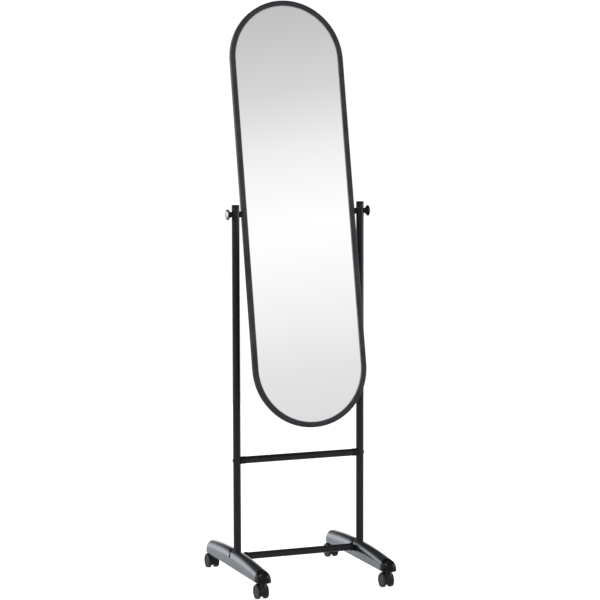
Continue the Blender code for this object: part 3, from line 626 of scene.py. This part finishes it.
def rear_cover(side):
    """The rear cover: a rounded shoulder behind the upright, a straight run and a rounded end."""
    angle = np.linspace(0, np.pi / 2, 12)
    shoulder = (SEAM + GAP + SHOULDER_LENGTH * (1 - np.cos(angle)), np.ones(12),
                1 - SHOULDER_DROP * (1 - np.sin(angle)))
    start = FOOT_REAR - FOOT_HALF_WIDTH
    run = straight(SEAM + GAP + SHOULDER_LENGTH, start, 30)
    stations = joined(shoulder, [values[1:] for values in run], rounded_end(start, FOOT_REAR))
    moulded_cover("foot_rear_cover_" + side, side, stations, [notch(side)])


def nose_cap(side):
    """The black cap: a short straight run and the rounded front end."""
    start = FOOT_FRONT + FOOT_HALF_WIDTH
    stations = joined(straight(NOSE_SEAM - GAP, start, 6), rounded_end(start, FOOT_FRONT))
    moulded_cover("foot_nose_cap_" + side, side, stations)


# Casters

WHEEL_RADIUS = extent("front_left_caster_inner_wheel")[2] / 2
HOOD_WIDTH = extent("front_left_caster_body")[0]
WEB_WIDTH = 0.011
HOOD_WALL = 0.0023
HOOD_OUTER = WHEEL_RADIUS + 0.0007 + HOOD_WALL
HOOD_START, HOOD_END = math.radians(30), math.radians(205)
AXLE_BOSS = 0.008


def axle_centre(caster):
    """The centre of a caster's axle."""
    return middle(caster + "_caster_axle")


def caster_hood(caster):
    """Hood, web and axle boss as one surface round the axle.

    A T-shaped section (web below, flange above) is carried round the axle. Outside the hood's arc the section
    shrinks to the boss: radius = boss + (section radius - boss) * w and x = section x pulled in to the web,
    where w goes from 0 to 1 over a short smooth step at each end of the arc.
    """
    node = caster + "_caster_body"
    half_web, half = WEB_WIDTH / 2, HOOD_WIDTH / 2
    inner = HOOD_OUTER - HOOD_WALL
    crown = 0.0006
    corners = [(-half_web, 0), (-half_web, inner), (-half, inner), (-half, HOOD_OUTER - crown),
               (0, HOOD_OUTER), (half, HOOD_OUTER - crown), (half, inner), (half_web, inner), (half_web, 0)]
    section = soften(corners, [0, 0.0012, 0.0008, 0.0011, 0.008, 0.0011, 0.0008, 0.0012, 0], steps=7)
    step = math.radians(2.4)
    ends = np.linspace(0, 1, 9)
    angle = np.concatenate([
        HOOD_START - step / 2 + ends * step,
        np.linspace(HOOD_START + step / 2, HOOD_END - step / 2, 62)[1:-1],
        HOOD_END - step / 2 + ends * step,
        np.linspace(HOOD_END + step / 2, HOOD_START - step / 2 + 2 * np.pi, 60)[1:-1],
    ])
    opening = np.clip((angle - HOOD_START + step / 2) / step, 0, 1)
    closing = np.clip((HOOD_END + step / 2 - angle) / step, 0, 1)
    share = opening * closing
    share = share * share * (3 - 2 * share)
    offset, radius = section[:, :1], section[:, 1:]
    small = np.minimum(radius, AXLE_BOSS)
    radius = small + (radius - small) * share
    narrow = np.clip(offset, -half_web, half_web)
    offset = narrow + (offset - narrow) * share
    centre = axle_centre(caster)
    points = np.stack([centre[0] + offset,
                       centre[1] + radius * np.cos(angle),
                       centre[2] + radius * np.sin(angle)], axis=-1)
    place(grid_mesh(node, points, wrap_columns=True), finish_of(node), node)


def caster_hub(caster):
    """The upright hub of a caster: it swells where it meets the hood and has a turned line near its top."""
    node = caster + "_caster_body"
    stem = middle(caster + "_caster_stem")
    top = highest(node)[2]
    axle = axle_centre(caster)[2]
    radius = 0.008
    low = axle + 0.006
    groove = radius - 0.0005
    profile = [(0, top), (0.0046, top), (radius, top), (radius, top - 0.0022), (groove, top - 0.0026),
               (groove, top - 0.0032), (radius, top - 0.0036), (radius, axle + 0.021),
               (radius + 0.0022, axle + 0.0165), (radius, low), (0, low)]
    edges = [0, 0.0002, 0.0008, 0.0002, 0.0002, 0.0002, 0.0002, 0.003, 0.001, 0.0005, 0]
    mesh = turned(node, soften(profile, edges), np.array([stem[0], stem[1], 0]), Z_AXIS)
    place(mesh, finish_of(node), node, name=caster + "_caster_hub_skin", replace=False)


def caster_stem(caster):
    """Plated stem with a rounded collar and a lead-in at its top."""
    node = caster + "_caster_stem"
    low, high = lowest(node)[2], highest(node)[2]
    collar = extent(node)[0] / 2
    collar_low = highest(caster + "_caster_body")[2] + GAP
    profile = [(0, high), (0.004, high), (0.004, collar_low + 0.002), (collar, collar_low + 0.002),
               (collar, collar_low), (0.004, collar_low), (0.004, low), (0, low)]
    mesh = turned(node, soften(profile, [0, 0.0007, 0.0002, 0.0007, 0.0007, 0.0002, 0.0004, 0]),
                  middle(node) * [1, 1, 0], Z_AXIS)
    place(mesh, finish_of(node), node)


def caster_wheel(caster, which):
    """A nylon wheel: rounded tread, raised rim, dished face with a shallow groove and a low hub disc."""
    node = caster + "_caster_" + which + "_wheel"
    centre = middle(node)
    side = math.copysign(1.0, centre[0] - axle_centre(caster)[0])
    width = extent(node)[0]
    origin = centre - side * X_AXIS * width / 2
    radius = WHEEL_RADIUS
    dish = width - 0.0025
    groove = dish - 0.0005
    corners = [
        (0, dish + 0.0012, 0), (0.30 * radius, dish + 0.0012, 0.0008), (0.34 * radius, dish, 0.0006),
        (0.60 * radius, dish, 0.0003), (0.62 * radius, groove, 0.0003), (0.66 * radius, groove, 0.0003),
        (0.68 * radius, dish, 0.0003), (0.76 * radius, dish, 0.0008), (0.83 * radius, width, 0.0010),
        (0.95 * radius, width, 0.0016), (radius, 0.76 * width, 0.0022), (radius, 0.12 * width, 0.0010),
        (0.95 * radius, 0, 0.0006), (0.0028, 0, 0.0003), (0.0028, 0.0073, 0.0003), (0, 0.0073, 0),
    ]
    table = np.array(corners)
    mesh = turned(node, soften(table[:, :2], table[:, 2]), origin, side * X_AXIS, steps=96)
    place(mesh, finish_of(node), node)


# Mirror

MIRROR_HALF_LENGTH = 0.5965
FRAME_WIDTH = 0.0138
FRAME_WALL = 0.008
FRAME_OUTER = extent("mirror_frame")[0] / 2
FRAME_INNER = FRAME_OUTER - FRAME_WIDTH
FRAME_FRONT = -0.0062
LIP_BACK = -0.0024
FRAME_BACK = 0.0087
SEAL_SHOW = 0.0018
SEAL_WIDTH = 0.004
SEAL_FRONT = -0.0021
SEAL_BACK = -0.0011
RETAINER_WIDTH = 0.006
RETAINER_THICKNESS = 0.0018


def stadium(radius_and_depth, steps=72):
    """A section of (radius, depth) carried round the mirror's outline.

    The outline is two half circles about points above and below the pivot, joined by straight sides. Then
    everything is tilted about the pivot's axis.
    """
    radius, depth = radius_and_depth[:, 0], radius_and_depth[:, 1]
    centre = MIRROR_HALF_LENGTH - FRAME_OUTER
    turn = np.linspace(0, np.pi, steps + 1)
    side_share = np.linspace(0, 1, 25)[1:-1]
    straight_steps = len(side_share)
    angle = np.concatenate([turn, np.full(straight_steps, np.pi),
                            np.pi + turn, np.full(straight_steps, 2 * np.pi)])
    height = np.concatenate([np.full(steps + 1, centre), centre - 2 * centre * side_share,
                             np.full(steps + 1, -centre), -centre + 2 * centre * side_share])
    x = np.cos(angle)[:, None] * radius
    z = height[:, None] + np.sin(angle)[:, None] * radius
    y = depth + 0 * x
    tilt = -MIRROR_TILT
    return np.stack([PIVOT[0] + x,
                     PIVOT[1] + y * math.cos(tilt) - z * math.sin(tilt),
                     PIVOT[2] + y * math.sin(tilt) + z * math.cos(tilt)], axis=-1)


def ring(node, section):
    """A closed section carried round the mirror."""
    mesh = grid_mesh(node, stadium(np.asarray(section)), wrap_rows=True, wrap_columns=True)
    place(mesh, finish_of(node), node)


def mirror_frame():
    """The frame: an L section with a softly crowned front."""
    rebate = FRAME_OUTER - FRAME_WALL
    corners = [(FRAME_INNER, LIP_BACK), (FRAME_INNER, FRAME_FRONT), (FRAME_OUTER, FRAME_FRONT),
               (FRAME_OUTER, FRAME_BACK), (rebate, FRAME_BACK), (rebate, LIP_BACK)]
    edges = [0.0004, 0.0026, 0.0030, 0.0012, 0.0004, 0.0002]
    ring("mirror_frame", soften(corners, edges, closed=True, steps=7))


def glazing_seal():
    """The pale strip that shows just inside the frame."""
    inner = FRAME_INNER - SEAL_SHOW
    outer = inner + SEAL_WIDTH
    corners = [(inner, SEAL_BACK), (inner, SEAL_FRONT), (outer, SEAL_FRONT), (outer, SEAL_BACK)]
    ring("glazing_seal", soften(corners, 0.0003, closed=True, steps=4))


def backing_retainer():
    """The strip pressed into the back of the frame."""
    outer = FRAME_OUTER - FRAME_WALL - GAP
    inner = outer - RETAINER_WIDTH
    front = FRAME_BACK - RETAINER_THICKNESS
    corners = [(inner, FRAME_BACK), (inner, front), (outer, front), (outer, FRAME_BACK)]
    ring("backing_retainer", soften(corners, [0.0008, 0.0002, 0.0002, 0.0008], closed=True, steps=5))


# Pivot hardware

def pivot_spacer(side):
    """A bush between frame and upright, with a saddle."""
    node = "pivot_spacer_" + side
    radius = extent(node)[2] / 2
    end = POST_X - min(abs(lowest(node)[0]), abs(highest(node)[0]))
    profile = [(radius, end), (radius, SADDLE_START), (STUD_HOLE, SADDLE_START), (STUD_HOLE, end)]
    mesh = turned(node, soften(profile, [0.0008, 0.0002, 0.0002, 0.0003], closed=True),
                  post_axis(side, PIVOT[2]), -SIDES[side] * X_AXIS, closed=True)
    saddle = (POST_RADIUS + GAP, post_axis(side, PIVOT[2]), Z_AXIS, SADDLE_CUT)
    place(drilled(mesh, [saddle]), finish_of(node), node)


def knob_washer(side):
    """The saddle washer between upright and knob."""
    node = "knob_washer_" + side
    radius = extent(node)[2] / 2
    end = max(abs(lowest(node)[0]), abs(highest(node)[0])) - POST_X
    profile = [(radius, end), (radius, SADDLE_START), (STUD_HOLE, SADDLE_START), (STUD_HOLE, end)]
    mesh = turned(node, soften(profile, [0.0006, 0.0002, 0.0002, 0.0003], closed=True),
                  post_axis(side, PIVOT[2]), SIDES[side] * X_AXIS, closed=True)
    saddle = (POST_RADIUS + GAP, post_axis(side, PIVOT[2]), Z_AXIS, SADDLE_CUT)
    place(drilled(mesh, [saddle]), finish_of(node), node)


def knob(side):
    """A trumpet-shaped knob: neck, a hollow cone up to a rounded rim, and a shallow recess for the cap."""
    node = "knob_" + side
    radius = extent(node)[2] / 2
    length = extent(node)[0]
    start = min(abs(lowest(node)[0]), abs(highest(node)[0]))
    neck, flare_start, rim, recess, hollow, bore_depth = 0.0067, 0.001, 0.0022, 0.0012, 1.4, 0.0073
    bed = extent("knob_cap_" + side)[2] / 2 + GAP
    share = np.linspace(0, 1, 15)
    flare = np.stack([radius - (radius - neck) * share,
                      length - rim - (length - rim - flare_start) * share ** hollow], axis=-1)
    floor = length - recess
    top = soften([(0, floor), (bed, floor), (bed, length), (radius, length), flare[0], flare[1]],
                 [0, 0.0001, 0.0004, 0.0014, 0.0007, 0])
    foot = soften([flare[-1], (neck, 0), (STUD_HOLE, 0), (STUD_HOLE, bore_depth), (0, bore_depth)],
                  [0, 0.0004, 0.0002, 0.0002, 0])
    profile = np.concatenate([top, flare[2:-1], foot])
    origin = np.array([SIDES[side] * start, STAND_Y, PIVOT[2]])
    mesh = turned(node, profile, origin, SIDES[side] * X_AXIS, steps=96)
    place(mesh, finish_of(node), node)


def knob_cap(side):
    """A bright domed disc with a rolled edge."""
    node = "knob_cap_" + side
    radius = extent(node)[2] / 2
    start = min(abs(lowest(node)[0]), abs(highest(node)[0]))
    depth = extent(node)[0]
    share = np.linspace(0, 1, 20)
    edge = 0.0012
    dome = np.stack([radius * share, edge + (depth - edge) * (1 - share ** 2)], axis=-1)
    rolled = soften([dome[-2], dome[-1], (radius, 0), (0, 0)], [0, 0.0005, 0.0003, 0])
    origin = np.array([SIDES[side] * start, STAND_Y, PIVOT[2]])
    mesh = turned(node, np.concatenate([dome[:-2], rolled]), origin, SIDES[side] * X_AXIS, steps=96)
    place(mesh, finish_of(node), node)


def frame_insert(side):
    """The bush in the frame's side, with a thin flange; its thread isn't modelled."""
    node = "frame_insert_" + side
    radius = extent(node)[2] / 2
    start = min(abs(lowest(node)[0]), abs(highest(node)[0]))
    end = max(abs(lowest(node)[0]), abs(highest(node)[0]))
    flange = 0.0008
    barrel = 0.0045
    profile = [(radius, end), (radius, end - flange), (barrel, end - flange), (barrel, start),
               (STUD_HOLE, start), (STUD_HOLE, end)]
    mesh = turned(node, soften(profile, 0.0002, closed=True), np.array([0, STAND_Y, PIVOT[2]]),
                  SIDES[side] * X_AXIS, closed=True)
    place(mesh, finish_of(node), node)


# The room

CAMERA_DISTANCE = 6.4662
CAMERA_AZIMUTH = math.radians(-21.224)
CAMERA_TILT = math.radians(6.494)
CAMERA_ROLL = math.radians(-0.138)
CAMERA_AIM_HEIGHT = 0.7898
CAMERA_SIDE_STEP = 0.0039
CAMERA_LENS = 139.236


def make_camera():
    """A long lens 21 degrees to the left of the mirror's front, looking slightly down."""
    back = Vector((math.sin(CAMERA_AZIMUTH) * math.cos(CAMERA_TILT),
                   -math.cos(CAMERA_AZIMUTH) * math.cos(CAMERA_TILT), math.sin(CAMERA_TILT)))
    right = Vector((math.cos(CAMERA_AZIMUTH), math.sin(CAMERA_AZIMUTH), 0))
    data = bpy.data.cameras.new("camera")
    data.lens = CAMERA_LENS
    data.sensor_width = 36.0
    data.clip_start, data.clip_end = 0.1, 100.0
    camera = bpy.data.objects.new("camera", data)
    aim = Vector((0, STAND_Y, CAMERA_AIM_HEIGHT))
    camera.location = aim + back * CAMERA_DISTANCE + right * CAMERA_SIDE_STEP
    turn = back.to_track_quat("Z", "Y").to_matrix() @ Matrix.Rotation(CAMERA_ROLL, 3, "Z")
    camera.rotation_euler = turn.to_euler()
    bpy.context.scene.collection.objects.link(camera)
    bpy.context.scene.camera = camera


def make_floor():
    """A pale matt floor under the stand, lifted to white where the camera sees it."""
    places = np.meshgrid(np.linspace(-4, 4, 9), np.linspace(-4, 3, 8), indexing="ij")
    mesh = grid_mesh("floor", np.stack([*places, np.zeros((9, 8))], axis=-1))
    material, tree, shader = blank_finish("floor_paper", (0.78, 0.78, 0.78), 0.9)
    shader.inputs["Specular IOR Level"].default_value = 0.0
    shader.inputs["Emission Color"].default_value = (1, 1, 1, 1)
    shader.inputs["Emission Strength"].default_value = 0.16
    lift = tree.nodes.new("ShaderNodeEmission")
    lift.inputs["Strength"].default_value = 0.86
    both = tree.nodes.new("ShaderNodeAddShader")
    tree.links.new(shader.outputs[0], both.inputs[0])
    tree.links.new(lift.outputs[0], both.inputs[1])
    output = tree.nodes["Material Output"]
    tree.links.new(camera_choice(tree, shader.outputs[0], both.outputs[0]), output.inputs["Surface"])
    mesh.materials.append(material)
    floor = bpy.data.objects.new("floor", mesh)
    bpy.context.scene.collection.objects.link(floor)


BEHIND = [(-1.0, 0.30), (-0.2, 0.60), (0.0, 1.0), (0.08, 1.0), (0.16, 0.95), (0.25, 0.30), (0.32, 0.04),
          (0.6, 0.03), (1.0, 0.35)]
BEFORE = [(-1.0, 0.10), (0.0, 0.12), (0.12, 0.45), (0.205, 0.76), (0.225, 0.80), (0.255, 0.94),
          (0.287, 1.055), (0.315, 0.94), (0.343, 0.71), (0.372, 0.575), (0.45, 0.35), (0.6, 0.22),
          (1.0, 0.35)]


def sky_level(tree, height, stops):
    """Brightness by height: stops are (upward share of the direction, brightness)."""
    place_on_ramp = ranged(tree, height, 0.0, 1.0, -1.0, 1.0)
    place_on_ramp.node.interpolation_type = "LINEAR"
    ramp = tree.nodes.new("ShaderNodeValToRGB")
    elements = ramp.color_ramp.elements
    elements[0].color = (stops[0][1],) * 3 + (1,)
    elements[-1].color = (stops[-1][1],) * 3 + (1,)
    for upward, level in stops[1:-1]:
        elements.new((upward + 1) / 2).color = (level,) * 3 + (1,)
    tree.links.new(place_on_ramp, ramp.inputs["Fac"])
    return ramp.outputs["Color"]


def make_world():
    """Soft surroundings: behind the mirror, pale low down and dark higher up; before it, one bright band.

    The band is about 17 degrees above level and fades both ways. The camera itself sees plain white.
    """
    world = bpy.data.worlds.new("studio")
    world.use_nodes = True
    bpy.context.scene.world = world
    tree = world.node_tree
    tree.nodes.clear()
    direction = tree.nodes.new("ShaderNodeTexCoord").outputs["Generated"]
    parts = tree.nodes.new("ShaderNodeSeparateXYZ")
    tree.links.new(direction, parts.inputs[0])
    toward = tree.nodes.new("ShaderNodeVectorMath")
    toward.operation = "DOT_PRODUCT"
    toward.inputs[1].default_value = (math.sin(CAMERA_AZIMUTH), -math.cos(CAMERA_AZIMUTH), 0)
    tree.links.new(direction, toward.inputs[0])
    level = tree.nodes.new("ShaderNodeMix")
    level.data_type = "RGBA"
    tree.links.new(ranged(tree, toward.outputs["Value"], 0.0, 1.0, -0.1, 0.5), level.inputs["Factor"])
    inputs = [socket for socket in level.inputs if socket.type == "RGBA"]
    tree.links.new(sky_level(tree, parts.outputs["Z"], BEHIND), inputs[0])
    tree.links.new(sky_level(tree, parts.outputs["Z"], BEFORE), inputs[1])
    room = tree.nodes.new("ShaderNodeBackground")
    tree.links.new([socket for socket in level.outputs if socket.type == "RGBA"][0], room.inputs["Color"])
    seen = tree.nodes.new("ShaderNodeBackground")
    seen.inputs["Color"].default_value = (1, 1, 1, 1)
    seen.inputs["Strength"].default_value = 1.05
    output = tree.nodes.new("ShaderNodeOutputWorld")
    tree.links.new(camera_choice(tree, room.outputs[0], seen.outputs[0]), output.inputs["Surface"])


def camera_choice(tree, otherwise, seen):
    """One shader for what the camera sees directly and another for light and reflections."""
    choose = tree.nodes.new("ShaderNodeMixShader")
    tree.links.new(tree.nodes.new("ShaderNodeLightPath").outputs["Is Camera Ray"], choose.inputs["Fac"])
    tree.links.new(otherwise, choose.inputs[1])
    tree.links.new(seen, choose.inputs[2])
    return choose.outputs[0]


def area_light(name, place_at, aim, size, power):
    """A square soft light that looks at a point."""
    data = bpy.data.lights.new(name, "AREA")
    data.size = size
    data.energy = power
    lamp = bpy.data.objects.new(name, data)
    lamp.location = place_at
    lamp.rotation_euler = (Vector(place_at) - Vector(aim)).to_track_quat("Z", "Y").to_euler()
    bpy.context.scene.collection.objects.link(lamp)


def make_lights():
    """Soft lights of equal power: a broad one low on the right and a smaller one high on the left."""
    area_light("right_box", (4.2, -1.6, 1.6), (0, 0, 0.4), 3.0, 45)
    area_light("left_box", (-3.2, 0.4, 3.0), (0, 0, 0.2), 2.2, 45)


def model_pieces():
    """Every finer piece."""
    for side in SIDES:
        upright_tube(side)
        upright_cap(side)
        front_cover(side)
        rear_cover(side)
        nose_cap(side)
        pivot_spacer(side)
        knob_washer(side)
        knob(side)
        knob_cap(side)
        frame_insert(side)
        for level in ("middle", "lower"):
            socket_with_saddle(level, side)
            bar_bolt(level, side)
    crossbar("middle_crossbar")
    crossbar("lower_crossbar")
    for caster in CASTERS:
        caster_hood(caster)
        caster_hub(caster)
        caster_stem(caster)
        caster_wheel(caster, "outer")
        caster_wheel(caster, "inner")
    mirror_frame()
    glazing_seal()
    backing_retainer()


def finish_kept_nodes():
    """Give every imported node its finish, also those that a finer piece stands for."""
    for node, obj in NODES.items():
        obj.data.materials.clear()
        obj.data.materials.append(finish_of(node))


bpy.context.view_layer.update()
finish_kept_nodes()
model_pieces()
make_camera()
make_floor()
make_world()
make_lights()
bpy.context.scene.view_settings.view_transform = "Standard"
